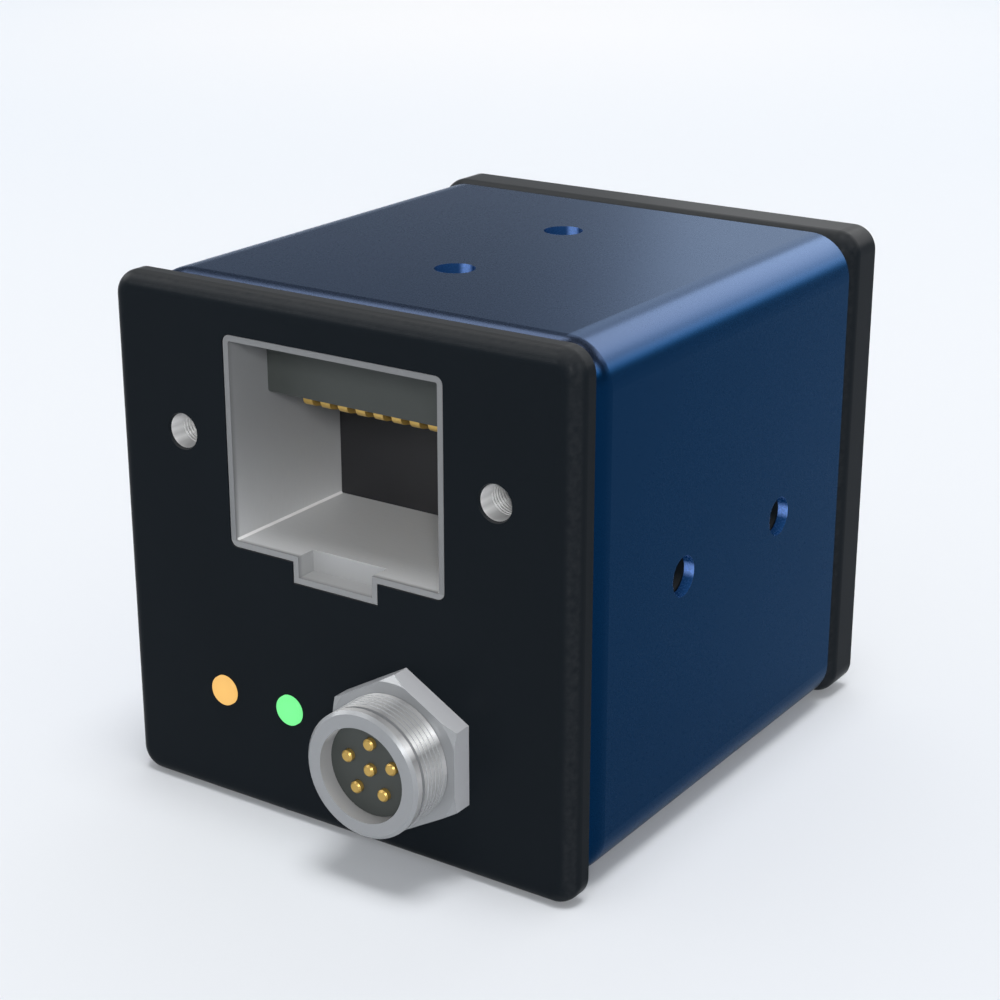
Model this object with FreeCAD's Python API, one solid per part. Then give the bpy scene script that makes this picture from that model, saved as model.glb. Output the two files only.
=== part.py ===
import FreeCAD, Part
import math
import os

# Machine vision camera: a square camera body with a C-mount lens seat on one end and a plate with
# a network socket, two status lights and a round power and trigger connector on the other.
# Millimetres. The origin is the centre of the lens flange on the optical axis, +Y looks out
# through the lens, +Z is up, and the connector side faces -Y.

os.makedirs("parts", exist_ok=True)

# ---- driving sizes ----

# drawn sleeve, closed round its rear rim; the lens ring sets its width, the board stack its length
side_margin = 2.25
sleeve_corner = 2.9
sleeve_wall = 0.7
sleeve_rim = 2.2
rim_lip = 0.55

# rear plate, which carries the sockets and lights
rear_overhang = 0.25
rear_corner = 1.6
rear_thickness = 1.85
rear_edge = 1.1

# front plate and the lens ring let into it
front_inset = 0.025
front_corner = 1.6
front_thickness = 3.85
front_edge = 1.4
front_outer_edge = 0.2
shoulder_step = 0.3
shoulder_inset = 0.45
spigot_depth = 1.0
flange_focal = 17.526
lens_thread_r = 12.7
lens_thread_length = 5.7
ring_wall = 1.0
ring_flange_width = 0.8
ring_flange_thickness = 1.2
ring_proud = 0.5
ring_slot_width = 1.2
ring_slot_depth = 0.6

# inner chassis and the tapped side holes
chassis_wall = 1.6
chassis_setback = 0.25
chassis_inner_corner = 1.5
side_hole_r = 1.3
side_thread_r = 1.25
side_hole_setback = 12.75
side_hole_pitch = 12.5
side_hole_turns = (0, 90, 180, 270)

# tie screws through the board stack
screw_r = 1.0
screw_head_r = 1.9
screw_head_height = 0.9
screw_key_af = 1.3
screw_key_depth = 0.6
screw_engagement = 5.0
boss_wall = 0.9
spacer_wall = 0.65

# boards
board_thickness = 1.0
board_corner = 1.4
board_notch_width = 5.0
board_notch_depth = 1.5
front_link_height = 2.4
rear_link_height = 2.0
link_length = 12.0
link_width = 2.4
link_wall = 0.4
link_edge = 3.2

# image sensor and the filter in front of it
die_x = 8.8
die_z = 7.4
die_thickness = 0.5
die_margin = 0.7
package_wall = 1.9
package_floor = 0.8
package_rim = 0.5
cover_glass_thickness = 0.5
cover_glass_inset = 0.8
cover_glass_headroom = 0.5
holder_base_gap = 0.33
holder_base_corner = 1.0
holder_wall = 2.0
filter_r = 10.0
filter_seat_width = 1.5
filter_thickness = 1.0
filter_setback = 10.7
retainer_thickness = 1.2
retainer_width = 1.3
collar_step = 0.3
collar_wall = 0.6

# chips on the boards
processor_side = 15.0
processor_thickness = 1.4
memory_x = 8.0
memory_z = 5.0
memory_thickness = 1.0
transformer_x = 11.0
transformer_z = 4.4
transformer_thickness = 3.8
transformer_edge = 1.5
transformer_drop = 0.8

# network socket
socket_width = 16.1
socket_height = 13.52
socket_depth = 12.474
socket_roof_gap = 0.14
socket_corner = 0.5
socket_inner_corner = 0.12
socket_wall = 0.38
socket_cavity_depth = 10.6
latch_width = 6.34
latch_drop = 1.38
latch_depth = 1.5
shield_tab_height = 1.6
tab_length = 1.8
contact_block_setback = 3.6
contact_block_drop = 4.0
contact_count = 8
contact_pitch = 1.34
contact_width = 0.7
contact_thickness = 0.3
contact_bend_r = 0.5
contact_droop = 0.55
contact_blade_length = 4.6
contact_blade_slope = 13.0
contact_front_wall = 0.1
lead_tail = 0.6

# round connector
connector_inset = 11.49
connector_reach = 4.65
connector_r = 4.0
connector_wall = 0.98
connector_ring_rise = 0.05
connector_ring_width = 0.6
connector_ring_bevel = 0.2
connector_neck_step = 0.2
connector_neck_width = 0.33
connector_undercut = 0.2
connector_undercut_width = 0.05
connector_flange_width = 0.6
connector_flange_thickness = 1.0
connector_body_wall = 0.58
connector_body_length = 8.6
nut_wall = 0.5
nut_thickness = 1.5
nut_face_margin = 0.25
nut_chamfer = 0.26
gasket_thickness = 0.4
insulator_setback = 1.07
insulator_key_width = 0.9
insulator_key_depth = 0.4
insulator_key_length = 1.0
outer_pins = 5
pin_circle_r = 1.68
pin_r = 0.38
pin_reach = 0.37
pin_tip_chamfer = 0.1

# status lights, on one row with the round connector
lower_row_height = 7.39
light_inset = 7.65
light_pitch = 5.28
light_r = 1.0
light_proud = 0.2
light_edge = 0.08
light_collar_width = 0.3
light_collar_thickness = 0.8
led_side = 1.6
led_thickness = 0.7

# screw locks beside the network socket
lock_spacing = 3.55
lock_bore_r = 1.1
lock_wall = 0.65
lock_rim = 0.2
lock_bevel = 0.08
lock_flange_width = 0.55
lock_flange_thickness = 0.8
lock_length = 3.9

# clearances
slide_gap = 0.07
press_gap = 0.02
hole_gap = 0.1
light_gap = 0.1
board_gap = 0.2
socket_gap = 0.05

# ---- stations along the optical axis ----

front_face = -ring_proud
front_inner = front_face - front_thickness
sleeve_front = front_inner - shoulder_step
spigot_end = sleeve_front - spigot_depth
ring_end = -lens_thread_length

sensor_plane = -flange_focal
package_front = sensor_plane + package_rim
package_cavity = sensor_plane - die_thickness
package_back = package_cavity - package_floor
sensor_board_front = package_back
sensor_board_rear = sensor_board_front - board_thickness
processor_front = sensor_board_rear - front_link_height
processor_rear = processor_front - board_thickness
io_front = processor_rear - rear_link_height
io_rear = io_front - board_thickness

plate_outer = io_rear - socket_depth
plate_inner = plate_outer + rear_thickness
plate_back = plate_inner + sleeve_wall
chassis_rear = plate_inner + sleeve_rim + chassis_setback
holder_base_front = package_front + cover_glass_thickness + cover_glass_headroom
filter_seat = -filter_setback
filter_front = filter_seat + filter_thickness
retainer_front = filter_front + retainer_thickness
socket_back = plate_outer + socket_cavity_depth
side_hole_first = plate_outer + side_hole_setback

# ---- half widths across it ----

ring_outer_r = lens_thread_r + ring_wall
ring_flange_r = ring_outer_r + ring_flange_width
collar_r = lens_thread_r + collar_step
sleeve_half = ring_flange_r + side_margin
rear_half = sleeve_half + rear_overhang
front_half = sleeve_half - front_inset
sleeve_inner_half = sleeve_half - sleeve_wall
sleeve_inner_corner = sleeve_corner - sleeve_wall
rim_half = sleeve_half - sleeve_rim - rim_lip
rim_corner = max(sleeve_corner - sleeve_rim, 0.3)
insert_half = sleeve_inner_half - slide_gap
insert_corner = sleeve_inner_corner
chassis_inner_half = insert_half - chassis_wall
board_half = chassis_inner_half - board_gap
screw_hole_r = screw_r + hole_gap
boss_r = screw_r + boss_wall
spacer_r = screw_hole_r + spacer_wall
screw_offset = rim_half - slide_gap - boss_r
post_half = screw_offset - boss_r

holder_bore_r = filter_r - filter_seat_width
package_x = die_x + 2 * (die_margin + package_wall)
package_z = die_z + 2 * (die_margin + package_wall)

lower_row_z = lower_row_height - sleeve_half
connector_x = sleeve_half - connector_inset
light_left_x = light_inset - sleeve_half
socket_top = chassis_inner_half - socket_roof_gap
socket_floor = socket_top - socket_height
socket_middle = (socket_floor + socket_top) / 2
socket_half = socket_width / 2
socket_cavity_half = socket_half - socket_wall
socket_cavity_floor = socket_floor + socket_wall
socket_cavity_top = socket_top - socket_wall
contact_block_bottom = socket_cavity_top - contact_block_drop
contact_bend_z = contact_block_bottom - contact_droop + contact_bend_r
contact_run_top = contact_bend_z + contact_bend_r
contact_run_z = contact_run_top - contact_thickness
contact_lead_z = contact_run_top - contact_thickness / 2

connector_bore_r = connector_r - connector_wall
connector_seat_r = connector_r - connector_undercut
connector_flange_r = connector_r + connector_flange_width
nut_half = connector_r + nut_wall
lock_r = lock_bore_r + lock_wall
lock_offset = socket_half + lock_spacing

screw_places = [(sx * screw_offset, sz * screw_offset) for sx in (-1, 1) for sz in (-1, 1)]
contact_places = [contact_pitch * (i - (contact_count - 1) / 2) for i in range(contact_count)]
lock_places = {"left": -lock_offset, "right": lock_offset}
light_places = {"left": light_left_x, "right": light_left_x + light_pitch}
pin_places = [(connector_x, lower_row_z)] + [
    (
        connector_x + pin_circle_r * math.cos(math.radians(90 + 360 * i / outer_pins)),
        lower_row_z + pin_circle_r * math.sin(math.radians(90 + 360 * i / outer_pins)),
    )
    for i in range(outer_pins)
]


# ---- shapes that recur ----

def point(x, y, z):
    return FreeCAD.Vector(x, y, z)


def block(x0, x1, y0, y1, z0, z1):
    return Part.makeBox(x1 - x0, y1 - y0, z1 - z0, point(x0, y0, z0))


def rod(x, z, r, y0, y1):
    return Part.makeCylinder(r, y1 - y0, point(x, y0, z), point(0, 1, 0))


def along_y(edge):
    start, end = edge.Vertexes[0].Point, edge.Vertexes[-1].Point
    return abs(start.x - end.x) + abs(start.z - end.z) < 1e-6


def rounded(shape, corner):
    """Rounds the edges that run along the optical axis."""
    return shape.makeFillet(corner, [edge for edge in shape.Edges if along_y(edge)])


def square_bar(half, corner, y0, y1):
    return rounded(block(-half, half, y0, y1, -half, half), corner)


def edges_at(shape, y):
    return [edge for edge in shape.Edges
            if abs(edge.BoundBox.YMin - y) < 1e-6 and abs(edge.BoundBox.YMax - y) < 1e-6]


def turned(profile, x=0.0, z=0.0):
    """Turns a closed profile of (radius, y) points about an axis along Y through x and z."""
    points = [point(r, y, 0) for r, y in profile]
    face = Part.Face(Part.makePolygon(points + points[:1]))
    solid = face.revolve(point(0, 0, 0), point(0, 1, 0), 360)
    solid.translate(point(x, 0, z))
    return solid


def hexagon(x, z, half_flats, y0, y1):
    """A hexagonal prism along Y with a corner at the top."""
    corner_r = 2 * half_flats / math.sqrt(3)
    corners = [point(x + corner_r * math.cos(math.radians(90 + 60 * i)), y0,
                     z + corner_r * math.sin(math.radians(90 + 60 * i))) for i in range(6)]
    face = Part.Face(Part.makePolygon(corners + corners[:1]))
    return face.extrude(point(0, y1 - y0, 0))


def cut(shape, tools):
    return shape.cut(Part.makeCompound(list(tools)))


def fuse(shape, others):
    return shape.multiFuse(list(others)).removeSplitter()


def save(node, *solids):
    shape = solids[0] if len(solids) == 1 else Part.makeCompound(list(solids))
    if not shape.isValid():
        raise ValueError(node + " is not a valid solid")
    shape.exportStep("parts/" + node + ".step")
    box = shape.BoundBox
    print(f"{node:26s} {len(shape.Solids):2d} solids  {shape.Volume:9.2f} mm3"
          f"  {box.XLength:6.2f} x {box.YLength:6.2f} x {box.ZLength:6.2f}")


# ---- network socket outline, shared by the shield and the plate's cut-out ----

def socket_bar(grow, y0, y1, corner):
    """The socket's outline without its latch notch, grown on every side."""
    half = socket_half + grow
    return rounded(block(-half, half, y0, y1, socket_floor - grow, socket_top + grow), corner)


def latch_bar(grow, y0, y1):
    """The latch notch below the socket's floor, reaching up into it."""
    half = latch_width / 2 + grow
    bottom = socket_floor - latch_drop - grow
    return block(-half, half, y0, y1, bottom, socket_floor + socket_wall + latch_drop)


# ---- housing ----

def make_rear_plate():
    plate = square_bar(rear_half, rear_corner, plate_outer, plate_inner)
    plate = plate.makeFillet(rear_edge, edges_at(plate, plate_outer))
    register = square_bar(rim_half - slide_gap, rim_corner, plate_inner, plate_back)
    bosses = [rod(x, z, boss_r, plate_inner, io_rear) for x, z in screw_places]
    plate = fuse(plate, [register] + bosses)
    seats = [socket_bar(socket_gap, plate_outer, plate_back, socket_corner + socket_gap),
             latch_bar(socket_gap, plate_outer, plate_back),
             rod(connector_x, lower_row_z, connector_seat_r + socket_gap, plate_outer, plate_back)]
    for x in light_places.values():
        seats.append(rod(x, lower_row_z, light_r + press_gap, plate_outer, plate_back))
    for x in lock_places.values():
        rim_back = plate_outer + lock_rim
        seats.append(turned([(0, plate_outer), (lock_bore_r + lock_bevel, plate_outer),
                             (lock_bore_r, rim_back), (0, rim_back)], x, socket_middle))
        seats.append(rod(x, socket_middle, lock_r + press_gap, rim_back, plate_back))
    for x, z in screw_places:
        seats.append(rod(x, z, screw_r + press_gap, io_rear - screw_engagement - hole_gap, io_rear))
    return cut(plate, seats)


def side_holes(r, inner, outer):
    """Radial holes through all four sides, two along each side's centre line."""
    holes = []
    for turn in side_hole_turns:
        for i in range(2):
            hole = Part.makeCylinder(r, outer - inner,
                                     point(0, side_hole_first + i * side_hole_pitch, inner))
            hole.rotate(point(0, 0, 0), point(0, 1, 0), turn)
            holes.append(hole)
    return holes


def make_sleeve():
    outer = square_bar(sleeve_half, sleeve_corner, plate_inner, sleeve_front)
    outer = outer.makeFillet(sleeve_rim, edges_at(outer, plate_inner))
    rim_inside = plate_inner + sleeve_wall
    inner = square_bar(sleeve_inner_half, sleeve_inner_corner, rim_inside, sleeve_front)
    inner = inner.makeFillet(sleeve_rim - sleeve_wall, edges_at(inner, rim_inside))
    mouth = square_bar(rim_half, rim_corner, plate_inner, rim_inside)
    reliefs = [socket_bar(2 * socket_gap, plate_inner, rim_inside, socket_corner)]
    for x in lock_places.values():
        reliefs.append(rod(x, socket_middle, lock_r + 2 * socket_gap, plate_inner, rim_inside))
    return cut(outer, [inner, mouth] + reliefs + side_holes(side_hole_r, 0, sleeve_half))


def make_chassis():
    frame = square_bar(insert_half, insert_corner, chassis_rear, spigot_end)
    frame = frame.cut(square_bar(chassis_inner_half, chassis_inner_corner, chassis_rear, spigot_end))
    reach = chassis_inner_half + chassis_wall / 2
    posts = []
    for x, z in screw_places:
        side_x, side_z = math.copysign(1, x), math.copysign(1, z)
        xs = sorted((side_x * post_half, side_x * reach))
        zs = sorted((side_z * post_half, side_z * reach))
        posts.append(rounded(block(*xs, sensor_board_front, spigot_end, *zs), chassis_wall / 2))
    frame = fuse(frame, posts)
    screws = [rod(x, z, screw_hole_r, sensor_board_front, spigot_end) for x, z in screw_places]
    return cut(frame, screws + side_holes(side_thread_r, 0, insert_half))


def make_front_plate():
    plate = square_bar(front_half, front_corner, front_inner, front_face)
    plate = plate.makeFillet(front_edge, edges_at(plate, front_inner))
    plate = plate.makeChamfer(front_outer_edge, edges_at(plate, front_face))
    shoulder = square_bar(sleeve_half - shoulder_inset, insert_corner + shoulder_inset,
                          sleeve_front, front_inner + front_edge)
    spigot = square_bar(insert_half, insert_corner, spigot_end, sleeve_front)
    plate = fuse(plate, [shoulder, spigot])
    flange_seat = -ring_flange_thickness
    seats = [rod(0, 0, ring_outer_r + socket_gap, spigot_end, front_face),
             rod(0, 0, ring_flange_r + socket_gap, flange_seat, front_face)]
    for x, z in screw_places:
        seats.append(rod(x, z, screw_hole_r, spigot_end, front_face))
        seats.append(turned(countersink(press_gap), x, z))
    return cut(plate, seats)


def countersink(grow):
    """The cone under a flush screw head."""
    base = front_face - screw_head_height
    return [(0, base), (screw_r + grow, base), (screw_head_r + grow, front_face), (0, front_face)]


def make_lens_ring():
    ring = turned([
        (lens_thread_r, ring_end), (ring_outer_r, ring_end),
        (ring_outer_r, -ring_flange_thickness), (ring_flange_r, -ring_flange_thickness),
        (ring_flange_r, 0), (lens_thread_r, 0)])
    half = ring_slot_width / 2
    slots = [block(min(x, side * ring_outer_r), max(x, side * ring_outer_r),
                   -ring_slot_depth, 0, -half, half)
             for side, x in ((-1, -ring_flange_r), (1, ring_flange_r))]
    return cut(ring, slots)


def make_tie_screws():
    """Flush screws from the front plate through the posts and boards into the rear bosses."""
    tip = io_rear - screw_engagement
    base = front_face - screw_head_height
    screws = []
    for x, z in screw_places:
        screw = fuse(rod(x, z, screw_r, tip, base), [turned(countersink(0), x, z)])
        key = hexagon(x, z, screw_key_af / 2, front_face - screw_key_depth, front_face)
        screws.append(screw.cut(key))
    return screws


# ---- sensor and filter ----

def centred(x, z, y0, y1, at_x=0.0, at_z=0.0):
    return block(at_x - x / 2, at_x + x / 2, y0, y1, at_z - z / 2, at_z + z / 2)


def make_sensor_package():
    body = centred(package_x, package_z, package_back, package_front)
    cavity = centred(package_x - 2 * package_wall, package_z - 2 * package_wall,
                     package_cavity, package_front)
    return body.cut(cavity)


def make_filter_holder():
    tube_r = holder_bore_r + holder_wall
    shelf = filter_seat - holder_wall / 2
    pocket_r = filter_r + socket_gap
    holder = turned([
        (holder_bore_r, holder_base_front), (holder_bore_r, filter_seat), (pocket_r, filter_seat),
        (pocket_r, retainer_front), (collar_r, retainer_front), (collar_r, ring_end),
        (collar_r + collar_wall, ring_end), (collar_r + collar_wall, shelf),
        (tube_r, shelf), (tube_r, holder_base_front)])
    window_x = package_x + 2 * board_gap
    window_z = package_z + 2 * board_gap
    base = square_bar(post_half - holder_base_gap, holder_base_corner,
                      sensor_board_front, holder_base_front)
    window = centred(window_x, window_z, sensor_board_front, holder_base_front)
    return fuse(holder, [base.cut(window)])


def make_retainer():
    return rod(0, 0, filter_r, filter_front, retainer_front).cut(
        rod(0, 0, filter_r - retainer_width, filter_front, retainer_front))


# ---- boards and what stands on them ----

def make_board(y0, y1):
    board = square_bar(board_half, board_corner, y0, y1)
    notches = []
    inner = board_half - board_notch_depth
    for turn in side_hole_turns:
        notch = block(-board_notch_width / 2, board_notch_width / 2, y0, y1, inner, board_half)
        notch.rotate(point(0, 0, 0), point(0, 1, 0), turn)
        notches.append(notch)
    return cut(board, notches + [rod(x, z, screw_hole_r, y0, y1) for x, z in screw_places])


def lead_slots(y0, y1):
    return [centred(contact_width + hole_gap, contact_thickness + hole_gap, y0, y1, x, contact_lead_z)
            for x in contact_places]


def shield_tabs(grow, y0, y1):
    wall_x = socket_half - socket_wall / 2
    return [centred(socket_wall + 2 * grow, shield_tab_height + 2 * grow, y0, y1,
                    side * wall_x, socket_middle) for side in (-1, 1)]


def make_io_board():
    board = make_board(io_rear, io_front)
    pins = [rod(x, z, pin_r + hole_gap / 2, io_rear, io_front) for x, z in pin_places]
    tabs = shield_tabs(hole_gap / 2, io_rear, io_front)
    return cut(board, lead_slots(io_rear, io_front) + pins + tabs)


def make_spacers():
    spacers = []
    for y0, y1 in ((io_front, processor_rear), (processor_front, sensor_board_rear)):
        for x, z in screw_places:
            spacers.append(rod(x, z, spacer_r, y0, y1).cut(rod(x, z, screw_hole_r, y0, y1)))
    return spacers


def make_link(y0, y1, turn):
    """A mated pair near a board's top edge, turned about the optical axis to another edge: the socket
    stands on the rear board, the plug on the front one."""
    parting = (y0 + y1) / 2
    floor = y0 + link_wall
    z = board_half - link_edge
    inset = 2 * (link_wall + slide_gap)
    socket = centred(link_length, link_width, y0, parting, 0, z)
    well = centred(link_length - 2 * link_wall, link_width - 2 * link_wall, floor, parting, 0, z)
    plug = centred(link_length, link_width, parting, y1, 0, z)
    tongue = centred(link_length - inset, link_width - inset, floor + slide_gap, parting, 0, z)
    pair = (socket.cut(well), fuse(plug, [tongue]))
    for piece in pair:
        piece.rotate(point(0, 0, 0), point(0, 1, 0), turn)
    return pair


# ---- network socket ----

def make_shield():
    front = plate_outer + socket_gap
    shell = socket_bar(0, front, io_rear, socket_corner)
    notch_end = plate_outer + latch_depth + socket_wall
    shell = fuse(shell, [latch_bar(0, front, notch_end)] + shield_tabs(0, io_rear, io_rear + tab_length))
    cavity = socket_bar(-socket_wall, front, io_rear, socket_inner_corner)
    notch = latch_bar(-socket_wall, front, plate_outer + latch_depth)
    return cut(shell, [cavity, notch])


def make_socket_insulator():
    """The dark moulding behind the cavity, slotted for the contacts' leads."""
    body = socket_bar(-socket_wall - press_gap, socket_back, io_rear, socket_inner_corner)
    return cut(body, lead_slots(socket_back, io_rear))


def make_contact_block():
    """The insert under the ceiling, grooved from below for each contact."""
    front = plate_outer + contact_block_setback
    half = socket_cavity_half - press_gap
    body = rounded(block(-half, half, front, socket_back, contact_block_bottom,
                         socket_cavity_top - press_gap), socket_inner_corner)
    groove_half = (contact_width + hole_gap) / 2
    grooves = [block(x - groove_half, x + groove_half, front + contact_front_wall, socket_back,
                     contact_block_bottom, contact_run_top + hole_gap / 2) for x in contact_places]
    return cut(body, grooves)


def make_contacts():
    """Each contact is one flat wire: a lead from the board, a turn at the front, a sloping blade."""
    bend_y = (plate_outer + contact_block_setback + contact_front_wall + hole_gap / 2
              + contact_bend_r)
    lead_end = io_front + lead_tail
    slope = math.radians(contact_blade_slope)
    contacts = []
    for x in contact_places:
        left = x - contact_width / 2
        right = x + contact_width / 2
        lead = block(left, right, bend_y, lead_end, contact_run_z, contact_run_top)
        bend_axis = point(left, bend_y, contact_bend_z)
        ring = Part.makeCylinder(contact_bend_r, contact_width, bend_axis, point(1, 0, 0)).cut(
            Part.makeCylinder(contact_bend_r - contact_thickness, contact_width, bend_axis, point(1, 0, 0)))
        reach = 2 * contact_bend_r
        turn_keep = block(left, right, bend_y - reach, bend_y, contact_bend_z - reach, contact_bend_z + reach)
        blade = block(left, right, bend_y, bend_y + contact_blade_length,
                      contact_bend_z - contact_bend_r, contact_bend_z - contact_bend_r + contact_thickness)
        blade.rotate(bend_axis, point(1, 0, 0), -math.degrees(slope))
        wedge_keep = block(left, right, bend_y, bend_y + reach, contact_bend_z - reach, contact_bend_z)
        sector = ring.common(wedge_keep).cut(
            turned_wedge(left, right, bend_y, contact_bend_z, reach, slope))
        contacts.append(fuse(lead, [ring.common(turn_keep), sector, blade]))
    return contacts


def turned_wedge(x0, x1, y, z, reach, angle):
    """The part of the bend's lower rear quarter past the angle where the blade leaves it."""
    corners = [point(x0, y, z),
               point(x0, y + 2 * reach, z),
               point(x0, y + 2 * reach, z - 2 * reach),
               point(x0, y - 2 * reach * math.sin(angle), z - 2 * reach * math.cos(angle))]
    face = Part.Face(Part.makePolygon(corners + corners[:1]))
    return face.extrude(point(x1 - x0, 0, 0))


# ---- round connector ----

def make_connector_shell():
    tip = plate_outer - connector_reach
    ring_back = tip + connector_ring_width
    neck_back = ring_back + connector_neck_width
    thread_back = plate_outer - nut_thickness - connector_undercut_width
    flange = plate_back + gasket_thickness
    end = plate_outer + connector_body_length
    flange_back = flange + connector_flange_thickness
    ring_r = connector_r + connector_ring_rise
    neck_r = connector_r - connector_neck_step
    body_r = connector_bore_r + connector_body_wall
    return turned([
        (connector_bore_r, tip), (ring_r - connector_ring_bevel, tip),
        (ring_r, tip + connector_ring_bevel), (ring_r, ring_back), (neck_r, ring_back),
        (neck_r, neck_back), (connector_r, neck_back), (connector_r, thread_back),
        (connector_seat_r, thread_back), (connector_seat_r, flange), (connector_flange_r, flange),
        (connector_flange_r, flange_back), (body_r, flange_back), (body_r, end),
        (connector_bore_r, end)], connector_x, lower_row_z)


def make_nut():
    tip = plate_outer - nut_thickness
    corner_r = 2 * nut_half / math.sqrt(3)
    body = hexagon(connector_x, lower_row_z, nut_half, tip, plate_outer)
    bevel = turned([(0, tip), (nut_half + nut_face_margin, tip), (corner_r, tip + nut_chamfer),
                    (corner_r, plate_outer), (0, plate_outer)], connector_x, lower_row_z)
    return body.common(bevel).cut(
        rod(connector_x, lower_row_z, connector_seat_r + press_gap, tip, plate_outer))


def make_gasket():
    top = plate_back + gasket_thickness
    return rod(connector_x, lower_row_z, connector_flange_r, plate_back, top).cut(
        rod(connector_x, lower_row_z, connector_seat_r + press_gap, plate_back, top))


def make_connector_insulator():
    face = plate_outer - connector_reach + insulator_setback
    end = plate_outer + connector_body_length
    r = connector_bore_r - press_gap
    body = rod(connector_x, lower_row_z, r, face, end)
    key_top = lower_row_z + r
    key = block(connector_x - insulator_key_width / 2, connector_x + insulator_key_width / 2,
                face, face + insulator_key_length, key_top - insulator_key_depth, key_top)
    return cut(body, [key] + [rod(x, z, pin_r + press_gap, face, end) for x, z in pin_places])


def make_pins():
    tip = plate_outer - connector_reach + insulator_setback - pin_reach
    end = io_front + lead_tail
    profile = [(0, tip), (pin_r - pin_tip_chamfer, tip), (pin_r, tip + pin_tip_chamfer),
               (pin_r, end), (0, end)]
    return [turned(profile, x, z) for x, z in pin_places]


# ---- small pieces of the rear plate ----

def make_light(x):
    """A light guide pressed into the plate, reaching to the lamp on the board."""
    tip = plate_outer - light_proud
    collar_end = plate_back + light_collar_thickness
    collar_r = light_r + light_collar_width
    end = io_rear - led_thickness - light_gap
    return turned([
        (0, tip), (light_r - light_edge, tip), (light_r, tip + light_edge), (light_r, plate_back),
        (collar_r, plate_back), (collar_r, collar_end), (light_r, collar_end),
        (light_r, end), (0, end)], x, lower_row_z)


def make_lock(x):
    tip = plate_outer + lock_rim
    flange_end = plate_back + lock_flange_thickness
    flange_r = lock_r + lock_flange_width
    return turned([
        (lock_bore_r, tip), (lock_r, tip), (lock_r, plate_back), (flange_r, plate_back),
        (flange_r, flange_end), (lock_r, flange_end), (lock_r, tip + lock_length),
        (lock_bore_r, tip + lock_length)], x, socket_middle)


# ---- the whole camera ----

save("rear_plate", make_rear_plate())
save("housing_sleeve", make_sleeve())
save("inner_chassis", make_chassis())
save("front_plate", make_front_plate())
save("lens_mount_ring", make_lens_ring())
save("tie_screws", *make_tie_screws())

save("image_sensor_package", make_sensor_package())
save("image_sensor_die", centred(die_x, die_z, package_cavity, sensor_plane))
save("sensor_cover_glass", centred(package_x - 2 * cover_glass_inset, package_z - 2 * cover_glass_inset,
                                   package_front, package_front + cover_glass_thickness))
save("filter_holder", make_filter_holder())
save("filter_glass", rod(0, 0, filter_r, filter_seat, filter_front))
save("filter_retainer", make_retainer())

save("sensor_board", make_board(sensor_board_rear, sensor_board_front))
save("processor_board", make_board(processor_rear, processor_front))
save("io_board", make_io_board())
save("board_spacers", *make_spacers())
front_socket, front_plug = make_link(processor_front, sensor_board_rear, 0)
rear_socket, rear_plug = make_link(io_front, processor_rear, -90)
save("sensor_link_socket", front_socket)
save("sensor_link_plug", front_plug)
save("io_link_socket", rear_socket)
save("io_link_plug", rear_plug)
save("processor_chip", centred(processor_side, processor_side, processor_front,
                               processor_front + processor_thickness))
save("memory_chip", centred(memory_x, memory_z, processor_rear - memory_thickness, processor_rear))
save("network_transformer", centred(transformer_x, transformer_z, io_rear - transformer_thickness,
                                    io_rear, transformer_edge + transformer_x / 2 - board_half,
                                    socket_floor - transformer_drop - transformer_z / 2))
save("status_leds", *[centred(led_side, led_side, io_rear - led_thickness, io_rear, x, lower_row_z)
                      for x in light_places.values()])

save("network_socket_shield", make_shield())
save("network_socket_insulator", make_socket_insulator())
save("network_contact_block", make_contact_block())
save("network_contacts", *make_contacts())

save("connector_shell", make_connector_shell())
save("connector_nut", make_nut())
save("connector_gasket", make_gasket())
save("connector_insulator", make_connector_insulator())
save("connector_pins", *make_pins())

for side, x in light_places.items():
    save("status_light_" + side, make_light(x))
for side, x in lock_places.items():
    save("screw_lock_" + side, make_lock(x))
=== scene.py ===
import math

import bmesh
import bpy
from mathutils import Matrix, Vector


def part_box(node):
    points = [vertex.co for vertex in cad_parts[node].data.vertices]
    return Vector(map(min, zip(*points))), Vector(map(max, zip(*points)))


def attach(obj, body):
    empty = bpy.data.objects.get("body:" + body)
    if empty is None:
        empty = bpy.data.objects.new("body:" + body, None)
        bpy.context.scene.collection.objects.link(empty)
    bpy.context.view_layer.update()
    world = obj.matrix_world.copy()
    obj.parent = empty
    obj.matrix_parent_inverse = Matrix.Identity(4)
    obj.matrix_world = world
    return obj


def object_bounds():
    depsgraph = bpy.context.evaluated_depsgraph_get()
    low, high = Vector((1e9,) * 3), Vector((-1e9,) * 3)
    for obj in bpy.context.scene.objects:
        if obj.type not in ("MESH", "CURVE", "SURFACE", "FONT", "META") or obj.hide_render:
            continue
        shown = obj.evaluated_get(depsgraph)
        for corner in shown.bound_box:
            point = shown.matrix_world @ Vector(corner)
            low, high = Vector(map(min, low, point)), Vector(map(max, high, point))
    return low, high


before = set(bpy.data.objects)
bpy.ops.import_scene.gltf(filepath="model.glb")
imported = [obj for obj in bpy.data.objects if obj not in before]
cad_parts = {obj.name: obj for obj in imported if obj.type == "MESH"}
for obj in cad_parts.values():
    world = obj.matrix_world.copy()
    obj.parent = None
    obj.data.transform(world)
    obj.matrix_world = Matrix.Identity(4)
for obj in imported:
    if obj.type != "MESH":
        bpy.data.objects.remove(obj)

cadLow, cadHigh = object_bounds()
millimetre = 0.001
rootBody = "root"

print("stage: frame loaded,", len(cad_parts), "nodes")


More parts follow.
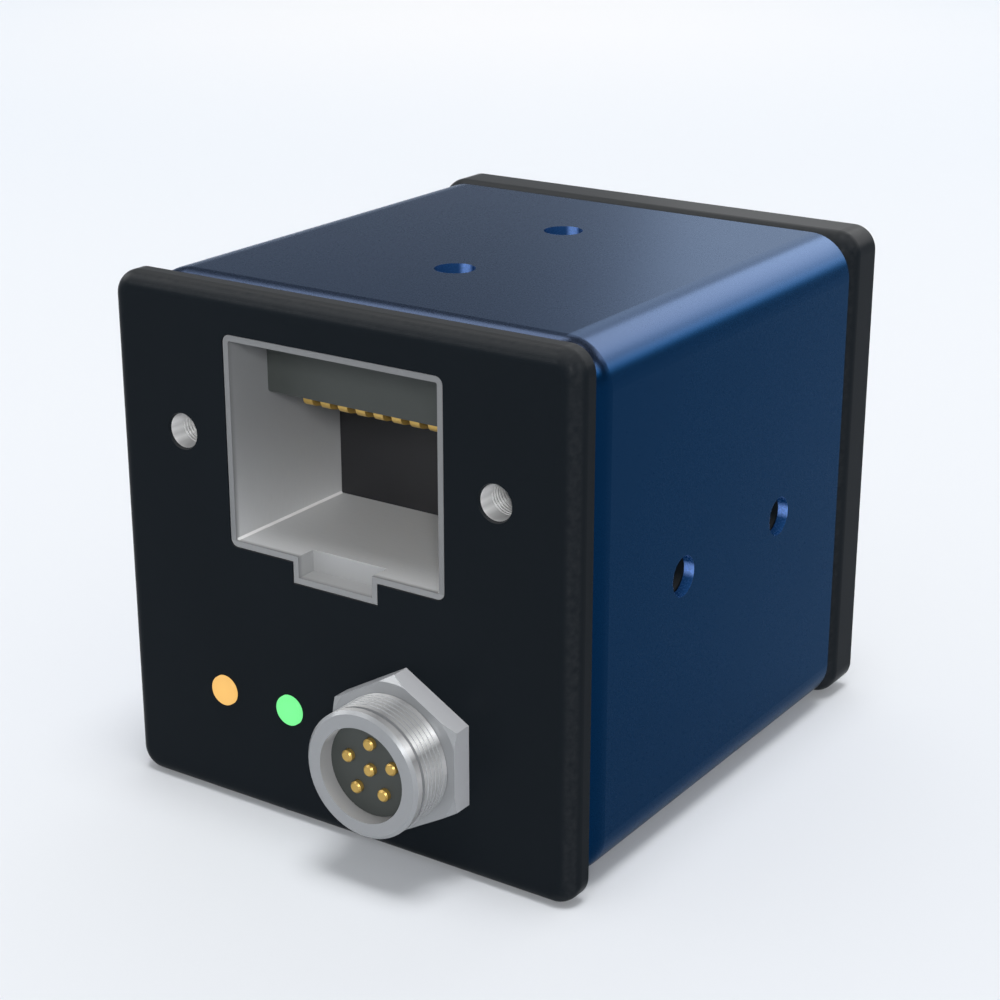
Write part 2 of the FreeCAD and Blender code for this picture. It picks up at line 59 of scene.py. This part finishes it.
class Signal:
    # one output of a shader node; arithmetic on it adds Math nodes
    def __init__(self, shader, socket):
        self.shader, self.socket = shader, socket

    def math(self, operation, *others):
        values = dict(enumerate((self, *others)))
        return self.shader.add("Math", {"operation": operation}, values)

    def __add__(self, other):
        return self.math("ADD", other)

    def __sub__(self, other):
        return self.math("SUBTRACT", other)

    def __mul__(self, other):
        return self.math("MULTIPLY", other)

    def __truediv__(self, other):
        return self.math("DIVIDE", other)

    def __pow__(self, other):
        return self.math("POWER", other)

    def __lt__(self, other):
        return self.math("LESS_THAN", other)

    def __gt__(self, other):
        return self.math("GREATER_THAN", other)

    def __abs__(self):
        return self.math("ABSOLUTE")

    __radd__ = __add__


class Shader:
    def __init__(self, name, **fixed):
        self.material = bpy.data.materials.new(name)
        self.material.use_nodes = True
        self.tree = self.material.node_tree
        self.tree.nodes.clear()
        self.surface = self.add("BsdfPrincipled")
        self.principled = self.surface.socket.node
        self.output = self.tree.nodes.new("ShaderNodeOutputMaterial")
        self.tree.links.new(self.surface.socket, self.output.inputs["Surface"])
        self.set(**fixed)

    def add(self, kind, settings=None, values=None, result=0):
        node = self.tree.nodes.new("ShaderNode" + kind)
        for key, value in (settings or {}).items():
            if key == "stops":
                self.setStops(node.color_ramp.elements, value)
            else:
                setattr(node, key, value)
        for key, value in (values or {}).items():
            self.feed(node.inputs[key], value)
        return Signal(self, node.outputs[result])

    def setStops(self, elements, stops):
        for index, (position, colour) in enumerate(stops):
            stop = elements[index] if index < 2 else elements.new(position)
            stop.position, stop.color = position, (*colour, 1)

    def feed(self, socket, value):
        if isinstance(value, Signal):
            self.tree.links.new(value.socket, socket)
        elif socket.type == "RGBA":
            socket.default_value = (*value[:3], 1)
        else:
            socket.default_value = value

    def set(self, **inputs):
        # baseColor="..." sets Base Color, specularIorLevel=... sets Specular IOR Level
        for key, value in inputs.items():
            words = "".join(" " + letter if letter.isupper() else letter for letter in key)
            title = " ".join(word.capitalize() for word in words.split()).replace("Ior", "IOR")
            self.feed(self.principled.inputs[title], value)

    def place(self, axis=None):
        point = self.add("TexCoord", result=3)
        if axis is None:
            return point
        return self.add("SeparateXYZ", values={0: point}, result="XYZ".index(axis))

    def span(self, value, low, high):
        # 0 at low and 1 at high, along a straight line
        return self.add("MapRange", values={0: value, 1: low, 2: high})

    def ease(self, value, low, high):
        # 0 at low and 1 at high, along a smooth curve
        smooth = {"interpolation_type": "SMOOTHSTEP"}
        return self.add("MapRange", smooth, {0: value, 1: low, 2: high})

    def normalPart(self, index):
        return self.add("SeparateXYZ", values={0: self.add("TexCoord", result=1)}, result=index)

    def facing(self, axis, low, high=0.95):
        # 1 where the surface faces along an axis, 0 where it stands across it
        return self.ease(self.normalPart("XYZ".index(axis)), low, high)

    def edges(self):
        # 1 on rounded and bevelled edges, 0 on the flat faces
        parts = [abs(self.normalPart(index)) for index in range(3)]
        largest = parts[0].math("MAXIMUM", parts[1]).math("MAXIMUM", parts[2])
        return self.ease(largest, 0.99, 0.85)

    def sheen(self, centre, stops):
        # painted highlight and reflection bands along a turned surface, by the angle round its axis
        offX, offZ = self.place("X") - centre.x, self.place("Z") - centre.z
        share = offZ.math("ARCTAN2", offX) / (2 * math.pi) + 0.5
        levels = [(place, (level,) * 3) for place, level in stops]
        return self.add("ValToRGB", {"stops": levels}, {0: share})

    def noise(self, scale, detail=2.0, stretch=None):
        point = self.place()
        if stretch:
            point = self.add("Mapping", values={0: point, 3: stretch})
        return self.add("TexNoise", values={"Vector": point, "Scale": scale, "Detail": detail})

    def spread(self, value, low, high):
        return self.add("MapRange", values={0: value, 3: low, 4: high})

    def blend(self, factor, first, second):
        return self.add("Mix", {"data_type": "RGBA"}, {0: factor, 6: first, 7: second}, 2)

    def bump(self, height, strength, distance):
        values = {"Strength": strength, "Distance": distance, "Height": height}
        self.set(normal=self.add("Bump", values=values))


def shade(colour, factor):
    return tuple(min(1.0, channel * factor) for channel in colour)


def distance(first, second):
    # how far a point lies from an axis, by its two offsets from it
    return (first * first + second * second) ** 0.5


def middle(node):
    low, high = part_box(node)
    return (low + high) / 2


finishes = {}


def anodised(name, colour, **look):
    # bead-blasted aluminium under a dyed layer, with painted light on its upward faces, rounded
    # edges and cross-hole walls
    shader = Shader(name, metallic=look["metallic"], specularIorLevel=look["gloss"],
                    specularTint=look["tint"])
    cloud = shader.noise(look["cloudScale"], 3.0)
    grain = shader.noise(look["grainScale"], 1.0)
    body = shader.blend(cloud, shade(colour, 0.93), shade(colour, 1.07))
    # upward faces take a lighter, greyer colour: painted light and reflection from above
    body = shader.blend(shader.facing("Z", 0.35), body, look["crown"])
    # rounded edges are lighter, broken up by fine noise: a painted highlight along the roundings
    if "worn" in look:
        rubbed = shader.edges() * shader.span(shader.noise(2600.0, 4.0), 0.2, 0.9)
        body = shader.blend(rubbed, body, look["worn"])
    # the cross holes' walls carry painted light and a painted highlight streak
    if "bores" in look:
        body = paintBores(shader, body, **look["bores"])
    dull = shader.spread(cloud * 0.5 + grain * 0.5, look["rough"] - 0.04, look["rough"] + 0.04)
    shader.set(baseColor=body, roughness=dull)
    shader.bump(grain, look["grain"], 0.00002)
    finishes[name] = shader.material


def paintBores(shader, body, radius, stations, colour, streak, metallic):
    # the walls of the cross holes, painted lighter than the sleeve as painted light, with a painted
    # highlight streak along the middle of each
    offX, offY, offZ = (shader.place(axis) for axis in "XYZ")
    mask, middleLine = 0.0, 0.0
    for station in stations:
        for across in (offX, offZ):
            inside = distance(offY - station, across) < radius
            near = shader.ease(abs(across), radius * 0.45, radius * 0.1)
            mask = mask + inside
            middleLine = middleLine + inside * near
    shader.set(metallic=shader.spread(mask, 1.0, metallic))
    return shader.blend(mask, body, shader.blend(middleLine, colour, streak))


def turnedMetal(name, colour, **look):
    # machined or plated metal, with fine tool marks along one axis
    shader = Shader(name, metallic=look["metallic"], specularIorLevel=look.get("gloss", 0.5))
    marks = shader.noise(look["markScale"], 2.0, look["stretch"])
    cloud = shader.noise(120.0, 2.0)
    body = shader.blend(cloud, shade(colour, 0.97), shade(colour, 1.03))
    if "flank" in look:
        # the surfaces turned or milled round the axis are painted brighter than the faces across
        # it: painted light on the flanks
        body = shader.blend(shader.facing("Y", -0.6, -0.2), body, look["flank"])
    # within each listed piece's reach, the surfaces round the axis take painted highlight and
    # reflection bands
    for node, reach in look.get("sheenRound", {}).items():
        centre = middle(node)
        near = distance(shader.place("X") - centre.x, shader.place("Z") - centre.z) < reach
        bands = shader.blend(shader.sheen(centre, look["bands"]), look["dark"], look["light"])
        body = shader.blend(near * shader.facing("Y", -0.6, -0.2), body, bands)
    shader.set(baseColor=body,
               roughness=shader.spread(marks, look["rough"] - 0.06, look["rough"] + 0.08))
    shader.bump(marks, look["marks"], 0.00001)
    finishes[name] = shader.material


def moulded(name, colour, **look):
    shader = Shader(name, specularIorLevel=look.get("gloss", 0.4))
    grain = shader.noise(look.get("grainScale", 9000.0), 2.0)
    cloud = shader.noise(400.0, 2.0)
    shader.set(baseColor=shader.blend(cloud, shade(colour, 0.9), shade(colour, 1.1)),
               roughness=shader.spread(grain, look["rough"] - 0.05, look["rough"] + 0.08))
    shader.bump(grain, 0.25, 0.00001)
    finishes[name] = shader.material


sideStations = (-0.02595, -0.01345)

anodised("blueAnodised", (0.002, 0.019, 0.057), metallic=1.0, gloss=0.5, rough=0.27,
         tint=(0.58, 0.66, 0.78), crown=(0.055, 0.072, 0.118), cloudScale=90.0,
         grainScale=7000.0, grain=0.04,
         bores={"radius": 0.001303, "stations": sideStations, "colour": (0.014, 0.065, 0.2),
                "streak": (0.22, 0.42, 0.98), "metallic": 0.2})
anodised("blackAnodised", (0.0084, 0.0112, 0.0142), metallic=0.0, gloss=0.02, rough=0.3,
         tint=(1, 1, 1), crown=(0.038, 0.04, 0.042), worn=(0.022, 0.0245, 0.0275), cloudScale=110.0,
         grainScale=8000.0, grain=0.15)
anodised("lensRing", (0.02, 0.021, 0.023), metallic=0.3, gloss=0.4, rough=0.4,
         tint=(1, 1, 1), crown=(0.02, 0.021, 0.023), worn=(0.05, 0.05, 0.052), cloudScale=130.0,
         grainScale=8000.0, grain=0.15)
turnedMetal("nickelPlate", (0.29, 0.3, 0.312), metallic=0.15, rough=0.3, gloss=0.3,
            markScale=900.0, stretch=(1, 10, 1), marks=0.0, flank=(0.56, 0.57, 0.595),
            # painted highlight and reflection bands on the connector's barrel
            sheenRound={"connector_shell": 0.00408},
            dark=(0.1, 0.103, 0.11), light=(1.0, 1.0, 1.0),
            bands=[(0.0, 0.35), (0.42, 0.3), (0.53, 0.5), (0.575, 0.2), (0.605, 1.0),
                   (0.64, 0.35), (0.71, 0.2), (0.77, 0.55), (0.82, 1.0), (0.87, 0.9),
                   (0.93, 0.35), (1.0, 0.35)])
turnedMetal("screwSteel", (0.62, 0.62, 0.62), metallic=0.1, rough=0.32,
            markScale=1200.0, stretch=(1, 6, 1), marks=0.05,
            # painted highlight streaks and painted shade round the inside of each lock's bore
            sheenRound={"screw_lock_left": 0.00128, "screw_lock_right": 0.00128},
            dark=(0.25, 0.25, 0.25), light=(1.0, 1.0, 1.0),
            bands=[(0.0, 0.75), (0.03, 1.0), (0.07, 0.65), (0.11, 1.0), (0.16, 0.5),
                   (0.22, 0.3), (0.5, 0.3), (0.8, 0.2), (0.88, 0.4), (0.92, 0.9),
                   (0.96, 1.0), (1.0, 0.75)])
turnedMetal("tieSteel", (0.3, 0.3, 0.305), metallic=0.6, rough=0.34,
            markScale=1100.0, stretch=(1, 6, 1), marks=0.2)
turnedMetal("goldPlate", (0.52, 0.34, 0.09), metallic=0.6, rough=0.36,
            markScale=1500.0, stretch=(1, 5, 1), marks=0.1)
# near white and not metallic: a painted highlight along the socket's folded corners
turnedMetal("seamSteel", (0.95, 0.95, 0.95), metallic=0.0, rough=0.3,
            markScale=1200.0, stretch=(1, 6, 1), marks=0.1)
moulded("darkPlastic", (0.014, 0.014, 0.016), rough=0.5)
moulded("greyPlastic", (0.052, 0.058, 0.055), rough=0.45, gloss=0.2)
moulded("chipBody", (0.012, 0.012, 0.013), rough=0.42)
moulded("sensorCeramic", (0.2, 0.17, 0.15), rough=0.55, grainScale=14000.0)
moulded("lampBody", (0.8, 0.78, 0.7), rough=0.5)
moulded("sealRubber", (0.012, 0.012, 0.012), rough=0.7)


# socket sheet tones: the walls run from top to a lighter floor as painted light, the rim and notch
# tones are painted light and shade, and marks is the brushed grain
sheetLook = {
    "rimDepth": (0.02, 0.4),
    "shadeFoot": 1.1,
    "top": (0.255, 0.26, 0.265),
    "floor": (0.66, 0.67, 0.68),
    "marks": (0.3, 0.3, 0.3),
    "notch": (0.4, 0.405, 0.41),
    "rim": (0.2, 0.205, 0.21),
    "notchRim": (0.25, 0.255, 0.26),
}


def socketSteel():
    # formed tinned sheet, brushed along the cavity; its cut rim is painted darker than the walls as
    # painted shade, and the walls are painted lighter towards the cavity's floor as painted light
    shader = Shader("socketSteel", metallic=0.15, specularIorLevel=0.25)
    low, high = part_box("network_socket_shield")
    start, end = (low.y + depth * millimetre for depth in sheetLook["rimDepth"])
    inside = shader.span(shader.place("Y"), start, end)
    brushed = shader.noise(900.0, 2.0, (1, 14, 1))
    depth = shader.span(shader.place("Z"), high.z, sheetLook["shadeFoot"] * millimetre)
    wall = shader.blend(depth * depth * depth, sheetLook["top"], sheetLook["floor"])
    wall = shader.blend(brushed * 0.15, wall, sheetLook["marks"])
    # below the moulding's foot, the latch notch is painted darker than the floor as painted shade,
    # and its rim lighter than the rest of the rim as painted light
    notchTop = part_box("network_socket_insulator")[0].z - 0.03 * millimetre
    aboveNotch = shader.place("Z") > notchTop
    wall = shader.blend(aboveNotch, sheetLook["notch"], wall)
    rim = shader.blend(aboveNotch, sheetLook["notchRim"], sheetLook["rim"])
    shader.set(baseColor=shader.blend(inside, rim, wall),
               roughness=shader.spread(brushed, 0.42, 0.55))
    shader.bump(brushed, 0.1, 0.00001)
    finishes["socketSteel"] = shader.material


def circuitBoard():
    # solder mask over copper tracks
    shader = Shader("circuitBoard", roughness=0.35)
    cells = shader.add("TexVoronoi", {"feature": "DISTANCE_TO_EDGE", "distance": "MANHATTAN"},
                       {"Vector": shader.place(), "Scale": 900.0})
    tracks = cells < 0.07
    shader.set(baseColor=shader.blend(tracks, (0.006, 0.07, 0.035), (0.02, 0.14, 0.07)))
    shader.bump(tracks, 0.3, 0.00002)
    finishes["circuitBoard"] = shader.material


sensorArea = {"halfWidth": 3.9, "halfHeight": 3.2}


def sensorSilicon():
    # the light-sensitive area's sheen, with a plain border round it
    shader = Shader("sensorSilicon", metallic=0.5, roughness=0.18, specularIorLevel=0.7)
    inX = abs(shader.place("X")) < sensorArea["halfWidth"] * millimetre
    inZ = abs(shader.place("Z")) < sensorArea["halfHeight"] * millimetre
    rows = shader.add("TexWave", {"bands_direction": "Z"},
                      {"Vector": shader.place(), "Scale": 5000.0})
    array = shader.blend(rows, (0.05, 0.03, 0.075), (0.035, 0.055, 0.09))
    shader.set(baseColor=shader.blend(inX * inZ, (0.1, 0.1, 0.11), array))
    finishes["sensorSilicon"] = shader.material


def glass(name, colour, **look):
    shader = Shader(name, transmissionWeight=1.0, ior=1.5, baseColor=colour)
    haze = shader.noise(500.0, 2.0)
    shader.set(roughness=shader.spread(haze, look["rough"], look["rough"] + 0.02),
               coatWeight=look["coat"])
    finishes[name] = shader.material


def lightGuide(name, colour, centre):
    # a clear guide, lit evenly and slightly brighter at its core
    shader = Shader(name, baseColor=shade(colour, 0.03), roughness=0.4, specularIorLevel=0.1)
    away = distance(shader.place("X") - centre.x, shader.place("Z") - centre.z)
    core = shader.spread(away / millimetre, 1.0, 0.0)
    shader.set(emissionColor=shader.blend(core, shade(colour, 0.94), colour), emissionStrength=1.0)
    finishes[name] = shader.material


socketSteel()
circuitBoard()
sensorSilicon()
glass("coverGlass", (0.97, 0.98, 0.98), rough=0.0, coat=0.0)
glass("filterGlass", (0.72, 0.95, 0.93), rough=0.0, coat=0.6)
lightGuide("orangeLight", (0.98, 0.57, 0.17), middle("status_light_left"))
lightGuide("greenLight", (0.22, 1.0, 0.33), middle("status_light_right"))

nodeFinish = {
    "blueAnodised": ["housing_sleeve"],
    "blackAnodised": ["rear_plate", "front_plate", "inner_chassis"],
    "lensRing": ["lens_mount_ring", "filter_retainer"],
    "socketSteel": ["network_socket_shield"],
    "nickelPlate": ["connector_shell", "connector_nut", "board_spacers"],
    "screwSteel": ["screw_lock_left", "screw_lock_right"],
    "tieSteel": ["tie_screws"],
    "goldPlate": ["network_contacts", "connector_pins"],
    "darkPlastic": ["network_socket_insulator", "filter_holder", "sensor_link_socket",
                    "sensor_link_plug", "io_link_socket", "io_link_plug"],
    "greyPlastic": ["network_contact_block", "connector_insulator"],
    "chipBody": ["processor_chip", "memory_chip", "network_transformer"],
    "sensorCeramic": ["image_sensor_package"],
    "sensorSilicon": ["image_sensor_die"],
    "coverGlass": ["sensor_cover_glass"],
    "filterGlass": ["filter_glass"],
    "lampBody": ["status_leds"],
    "sealRubber": ["connector_gasket"],
    "circuitBoard": ["sensor_board", "processor_board", "io_board"],
    "orangeLight": ["status_light_left"],
    "greenLight": ["status_light_right"],
}
for finish, nodes in nodeFinish.items():
    for node in nodes:
        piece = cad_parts[node]
        piece.data.materials.clear()
        piece.data.materials.append(finishes[finish])

print("stage: finishes made,", len(finishes))


def nodeMaker(tree):
    # gives a function that adds a node, links or sets its inputs and returns its outputs
    def node(kind, values=None, **settings):
        made = tree.nodes.new(kind)
        for key, value in settings.items():
            setattr(made, key, value)
        for key, value in (values or {}).items():
            if isinstance(value, bpy.types.NodeSocket):
                tree.links.new(value, made.inputs[key])
            else:
                made.inputs[key].default_value = value
        return made.outputs

    return node


# in millimetres: start is how far the winding starts from its piece's edge, or for the connector
# from the plate's face, and foot is half the ridge's width
threadSizes = {
    "lens": {"radius": 12.7, "length": 4.6, "start": 0.7,
             "rise": 0.3, "foot": 0.34, "pitch": 0.794, "steps": 96},
    "connector": {"radius": 4.0, "length": 1.98, "start": 1.62,
                  "rise": 0.05, "foot": 0.07, "pitch": 0.36, "steps": 64},
    "side": {"radius": 1.25, "length": 1.6, "start": 1.2,
             "rise": 0.13, "foot": 0.17, "pitch": 0.45, "steps": 24},
    "lock": {"radius": 1.1, "length": 2.1, "start": 1.2,
             "rise": 0.045, "foot": 0.09, "pitch": 0.25, "steps": 48},
}
threadLengths = ("Radius", "Length", "Pitch", "Rise", "Foot")


def makeThreadTree():
    # a ridge of triangular section wound round the Z axis
    tree = bpy.data.node_groups.new("threadRidge", "GeometryNodeTree")
    face = tree.interface
    face.new_socket("Geometry", in_out="INPUT", socket_type="NodeSocketGeometry")
    keys = {}
    kinds = {**dict.fromkeys(threadLengths, "Float"), "Steps": "Int", "Finish": "Material"}
    for name, kind in kinds.items():
        socket = face.new_socket(name, in_out="INPUT", socket_type="NodeSocket" + kind)
        keys[name] = socket.identifier
    face.new_socket("Geometry", in_out="OUTPUT", socket_type="NodeSocketGeometry")

    node = nodeMaker(tree)
    sizes = node("NodeGroupInput")
    turns = node("ShaderNodeMath", {0: sizes["Length"], 1: sizes["Pitch"]}, operation="DIVIDE")[0]
    path = node("GeometryNodeCurveSpiral", {
        "Resolution": sizes["Steps"], "Rotations": turns, "Start Radius": sizes["Radius"],
        "End Radius": sizes["Radius"], "Height": sizes["Length"]})[0]
    path = node("GeometryNodeSetCurveNormal", {"Curve": path}, mode="Z_UP")[0]
    section = node("GeometryNodeCurvePrimitiveCircle", {"Resolution": 4, "Radius": 1.0})[0]
    scale = node("ShaderNodeCombineXYZ", {0: sizes["Rise"], 1: sizes["Foot"], 2: 1.0})[0]
    section = node("GeometryNodeTransform", {"Geometry": section, "Scale": scale})[0]
    ridge = node("GeometryNodeCurveToMesh",
                 {"Curve": path, "Profile Curve": section, "Fill Caps": True})[0]
    ridge = node("GeometryNodeRealizeInstances", {0: ridge})[0]
    ridge = node("GeometryNodeSetMaterial", {"Geometry": ridge, "Material": sizes["Finish"]})[0]
    node("NodeGroupOutput", {0: ridge})
    return tree, keys


threadTree, threadKeys = makeThreadTree()


def windThread(kind, finish, place):
    # place carries +Z onto the thread's axis, with the ridge starting at its origin
    sizes = threadSizes[kind]
    carrier = bpy.data.objects.new("ridge", bpy.data.meshes.new("ridge"))
    bpy.context.collection.objects.link(carrier)
    modifier = carrier.modifiers.new("thread", "NODES")
    modifier.node_group = threadTree
    for name in threadLengths:
        modifier[threadKeys[name]] = sizes[name.lower()] * millimetre
    modifier[threadKeys["Steps"]] = sizes["steps"]
    modifier[threadKeys["Finish"]] = finishes[finish]
    bpy.context.view_layer.update()
    ready = carrier.evaluated_get(bpy.context.evaluated_depsgraph_get())
    mesh = bpy.data.meshes.new_from_object(ready)
    bpy.data.objects.remove(carrier)
    mesh.transform(place)
    return mesh


def addPiece(name, meshes, finish):
    # one object from several meshes, with its faces turned outwards
    shape = bmesh.new()
    for mesh in meshes:
        shape.from_mesh(mesh)
        bpy.data.meshes.remove(mesh)
    bmesh.ops.remove_doubles(shape, verts=shape.verts, dist=1e-7)
    bmesh.ops.recalc_face_normals(shape, faces=shape.faces)
    whole = bpy.data.meshes.new(name)
    shape.to_mesh(whole)
    shape.free()
    whole.materials.clear()
    whole.materials.append(finishes[finish])
    piece = bpy.data.objects.new(name, whole)
    bpy.context.collection.objects.link(piece)
    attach(piece, rootBody)
    return piece


def along(start, direction):
    # carries the Z axis onto a direction, from a start point in metres
    turn = Vector(direction).to_track_quat("Z", "Y").to_matrix().to_4x4()
    return Matrix.Translation(start) @ turn


def makeThreads():
    start = {kind: sizes["start"] * millimetre for kind, sizes in threadSizes.items()}

    inward = along((0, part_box("lens_mount_ring")[1].y - start["lens"], 0), (0, -1, 0))
    addPiece("lensThread", [windThread("lens", "lensRing", inward)], "lensRing")

    axis = middle("connector_shell")
    outward = along((axis.x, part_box("rear_plate")[0].y - start["connector"], axis.z), (0, -1, 0))
    addPiece("connectorThread", [windThread("connector", "nickelPlate", outward)],
             "nickelPlate")

    side, half = [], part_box("housing_sleeve")[1].z
    for y in sideStations:
        for out in ((0, 0, 1), (0, 0, -1), (1, 0, 0), (-1, 0, 0)):
            mouth = Vector(out) * (half - start["side"]) + Vector((0, y, 0))
            side.append(windThread("side", "blackAnodised", along(mouth, -Vector(out))))
    addPiece("sideThreads", side, "blackAnodised")

    locks = []
    for node in ("screw_lock_left", "screw_lock_right"):
        centre = middle(node)
        mouth = (centre.x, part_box(node)[0].y + start["lock"], centre.z)
        locks.append(windThread("lock", "screwSteel", along(mouth, (0, 1, 0))))
    addPiece("lockThreads", locks, "screwSteel")


makeThreads()
print("stage: threads wound")

seamSizes = {"radius": 0.14, "steps": 6, "frontGap": 0.12, "backGap": 0.05}


def makeSocketSeams():
    # the sheet's folded inner corners, along both sides of the cavity's floor, in near white as a
    # painted highlight along each corner
    sizes = {name: value * millimetre for name, value in seamSizes.items()}
    shield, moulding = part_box("network_socket_shield"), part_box("network_socket_insulator")
    halfWidth, floorLevel = -moulding[0].x, moulding[0].z
    front, back = shield[0].y + sizes["frontGap"], moulding[0].y - sizes["backGap"]
    meshes = []
    for side in (-1, 1):
        corner = Vector((side * halfWidth, 0, floorLevel))
        section = [corner]
        for step in range(seamSizes["steps"] + 1):
            turn = math.radians(90 * step / seamSizes["steps"])
            away = Vector((side * (math.sin(turn) - 1), 0, 1 - math.cos(turn)))
            section.append(corner + away * sizes["radius"])
        verts = [point + Vector((0, y, 0)) for y in (front, back) for point in section]
        count = len(section)
        faces = [(i, (i + 1) % count, count + (i + 1) % count, count + i) for i in range(count)]
        faces += [tuple(range(count)), tuple(range(2 * count - 1, count - 1, -1))]
        mesh = bpy.data.meshes.new("seam")
        mesh.from_pydata(verts, [], faces)
        meshes.append(mesh)
    addPiece("socketSeams", meshes, "seamSteel")


makeSocketSeams()
print("stage: socket seams made")

stageLook = {
    "floorRadius": 2.5,
    # the floor's middle colour, a painted falloff of the light towards its edge, and a painted pool
    # of light behind and left of the object
    "floorColour": (0.80, 0.825, 0.865),
    "floorEdge": (0.75, 0.80, 0.865),
    "fadeStart": 0.05,
    "fadeEnd": 0.45,
    "glowPlace": (-0.21, 0.29),
    "glowReach": 0.2,
    "glowColour": (0.86, 0.865, 0.885),
    "ambient": 0.32,
    "ambientColour": (0.97, 0.985, 1, 1),
    "horizon": (0.88, 0.92, 0.97, 1),
    "ceiling": (0.12, 0.13, 0.145, 1),
    "ceilingRise": (0.02, 0.35),
    "sunDistance": 0.6,
    "cardTarget": (0, -0.02, 0),
}

# azimuth from -Y towards +X, elevation, level, spread, and whether the gloss shows it
suns = {
    "overheadLight": (60, 84, 0.54, 24, False),
    "frontLight": (34, 24, 0.52, 14, True),
    "backLight": (205, 35, 0.11, 70, False),
}

# place, width, height and radiance
cards = {
    "rearCard": ((-0.02, 0.44, 0.24), 0.5, 0.26, 1.5),
    "rearRightCard": ((0.11, 0.42, 0.24), 0.42, 0.26, 2.8),
    "highFrontCard": ((-0.26, -0.165, 0.384), 0.3, 0.2, 4.0),
    "cornerCard": ((0.227, -0.295, 0.32), 0.12, 0.06, 12.0),
    "horizonCard": ((0.28, 0.39, 0.138), 0.2, 0.1, 3.0),
    "rightCard": ((0.42, 0.0, 0.28), 0.26, 0.16, 6.0),
    "highLeftCard": ((-0.26, 0.17, 0.39), 0.2, 0.14, 3.0),
    "highCard": ((0.05, 0.06, 0.5), 0.16, 0.16, 4.0),
    "frontLeftCard": ((-0.265, -0.375, 0.195), 0.25, 0.12, 9.0),
    "leftCard": ((-0.45, -0.05, 0.22), 0.3, 0.2, 6.0),
}

view = {
    "place": (0.07545, -0.13282, 0.0491),
    "direction": (-0.52548, 0.77905, -0.34202),
    "angle": 26.0,
    "sensorWidth": 36.0,
    "clipStart": 0.005,
}


def makeFloor():
    shader = Shader("floorPaper", roughness=0.9, specularIorLevel=0.1)
    offX, offY = shader.place("X"), shader.place("Y")
    # the paper darkens towards its edge as a painted falloff of the light, and lightens in a
    # painted pool of light
    fade = shader.ease(distance(offX, offY), stageLook["fadeStart"], stageLook["fadeEnd"])
    glowX, glowY = stageLook["glowPlace"]
    glow = shader.ease(distance(offX - glowX, offY - glowY), stageLook["glowReach"], 0.0)
    paper = shader.blend(fade, stageLook["floorColour"], stageLook["floorEdge"])
    shader.set(baseColor=shader.blend(glow, paper, stageLook["glowColour"]))
    bpy.ops.mesh.primitive_circle_add(vertices=96, radius=stageLook["floorRadius"],
                                      fill_type="NGON")
    floor = bpy.context.object
    floor.name = "studioFloor"
    floor.data.transform(Matrix.Translation((0, 0, cadLow.z)))
    floor.data.materials.append(shader.material)


def makeWorld():
    # white for what it lights; a pale horizon under a greyer ceiling for what reflects it
    world = bpy.data.worlds.new("studioWorld")
    bpy.context.scene.world = world
    world.use_nodes = True
    world.node_tree.nodes.clear()
    maker = nodeMaker(world.node_tree)

    def node(kind, values=None, **settings):
        return maker("ShaderNode" + kind, values, **settings)

    rays = node("LightPath")
    split = node("SeparateXYZ", {0: node("TexCoord")["Generated"]})
    foot, top = stageLook["ceilingRise"]
    height = node("MapRange", {0: split["Z"], 1: foot, 2: top})[0]
    ceiling = node("Math", {0: height, 1: rays["Is Glossy Ray"]}, operation="MULTIPLY")[0]
    sky = node("Mix", {0: ceiling, 6: stageLook["horizon"], 7: stageLook["ceiling"]},
               data_type="RGBA")[2]
    seen = node("Background", {0: sky})[0]
    light = node("Background", {0: stageLook["ambientColour"], 1: stageLook["ambient"]})[0]
    direct = node("Math", {0: rays["Is Camera Ray"], 1: rays["Is Glossy Ray"]},
                  operation="MAXIMUM")[0]
    shown = node("Math", {0: direct, 1: rays["Is Transmission Ray"]}, operation="MAXIMUM")[0]
    node("OutputWorld", {"Surface": node("MixShader", {0: shown, 1: light, 2: seen})[0]})


def aim(name, data, place, direction):
    thing = bpy.data.objects.new(name, data)
    bpy.context.collection.objects.link(thing)
    thing.location = place
    thing.rotation_euler = Vector(direction).to_track_quat("-Z", "Y").to_euler()
    return thing


def makeSun(name, azimuth, elevation, level, spread, glossy):
    # level 1 lights a facing white surface to white
    sun = bpy.data.lights.new(name, "SUN")
    sun.energy, sun.angle = level * math.pi, math.radians(spread)
    turn, rise = math.radians(azimuth), math.radians(elevation)
    flat = math.cos(rise)
    away = Vector((math.sin(turn) * flat, -math.cos(turn) * flat, math.sin(rise)))
    aim(name, sun, away * stageLook["sunDistance"], -away).visible_glossy = glossy


def makeCard(name, place, width, height, radiance):
    # a reflector seen only in the gloss
    card = bpy.data.lights.new(name, "AREA")
    card.shape, card.size, card.size_y = "RECTANGLE", width, height
    card.energy = radiance * math.pi * width * height
    direction = Vector(stageLook["cardTarget"]) - Vector(place)
    aim(name, card, place, direction).visible_diffuse = False


def makeCamera():
    camera = bpy.data.cameras.new("viewCamera")
    camera.sensor_width = view["sensorWidth"]
    camera.angle = math.radians(view["angle"])
    camera.clip_start = view["clipStart"]
    bpy.context.scene.camera = aim("viewCamera", camera, view["place"], view["direction"])


makeFloor()
makeWorld()
for name, values in suns.items():
    makeSun(name, *values)
for name, values in cards.items():
    makeCard(name, *values)
makeCamera()
bpy.context.scene.view_settings.view_transform = "Standard"

print("stage: studio ready")
